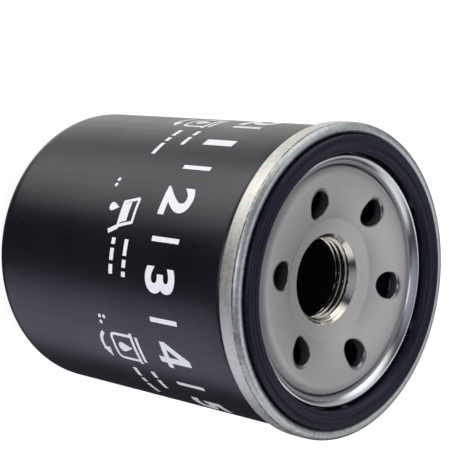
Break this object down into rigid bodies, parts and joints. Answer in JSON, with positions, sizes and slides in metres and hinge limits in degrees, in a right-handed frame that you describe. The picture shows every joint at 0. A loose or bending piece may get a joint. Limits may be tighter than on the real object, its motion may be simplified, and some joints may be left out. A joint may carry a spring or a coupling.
{
  "type": "oil filter",
  "caption": "Spin-on engine oil filter: black steel can with a rolled seam, dished threaded base plate with inlet holes, sealing gasket, pleated element, drain valve and bypass valve.",
  "frame": {"origin": "centre of the domed end's flat, on which the filter stands", "axes": "+Z along the filter's axis from the domed end to the threaded end; -Y is the side that carries the printed marks facing the viewer"},
  "size_m": [0.0722, 0.0722, 0.088],
  "materials": {
    "can_paint": "satin",
    "print_ink": "matte",
    "lid_zinc": "satin",
    "seam_sealant": "matte",
    "base_plate_steel": "satin",
    "gasket_rubber": "satin",
    "drain_valve_rubber": "satin",
    "cap_tinplate": "satin",
    "element_adhesive": "matte",
    "filter_paper": "matte",
    "tube_steel": "satin",
    "spring_steel": "satin",
    "valve_seal_rubber": "matte"
  },
  "bodies": {
    "root": {"can": "can_paint", "seaming_lid": "lid_zinc", "seam_sealant": "seam_sealant", "base_plate": "base_plate_steel", "gasket": "gasket_rubber", "drain_valve_diaphragm": "drain_valve_rubber", "top_end_cap": "cap_tinplate", "top_bond": "element_adhesive", "filter_media": "filter_paper", "media_clip": "cap_tinplate", "centre_tube": "tube_steel", "bottom_bond": "element_adhesive", "bottom_end_cap": "cap_tinplate", "bypass_cage": "tube_steel", "bypass_spring": "spring_steel", "support_spring": "spring_steel"},
    "drain_valve_lip": {"drain_valve_lip": "drain_valve_rubber"},
    "bypass_valve": {"bypass_disc": "tube_steel", "bypass_seal": "valve_seal_rubber", "bypass_stem": "spring_steel"}
  },
  "joints": [
    {"name": "drain_valve_open", "type": "slide", "parent": "root", "child": "drain_valve_lip", "axis": [0, 0, -1], "range_m": [0, 0.0015], "stiffness_N_per_m": 400, "springref_m": -0.002},
    {"name": "bypass_lift", "type": "slide", "parent": "root", "child": "bypass_valve", "axis": [0, 0, 1], "range_m": [0, 0.003], "stiffness_N_per_m": 900, "springref_m": -0.009, "deforming": ["bypass_spring"]}
  ]
}
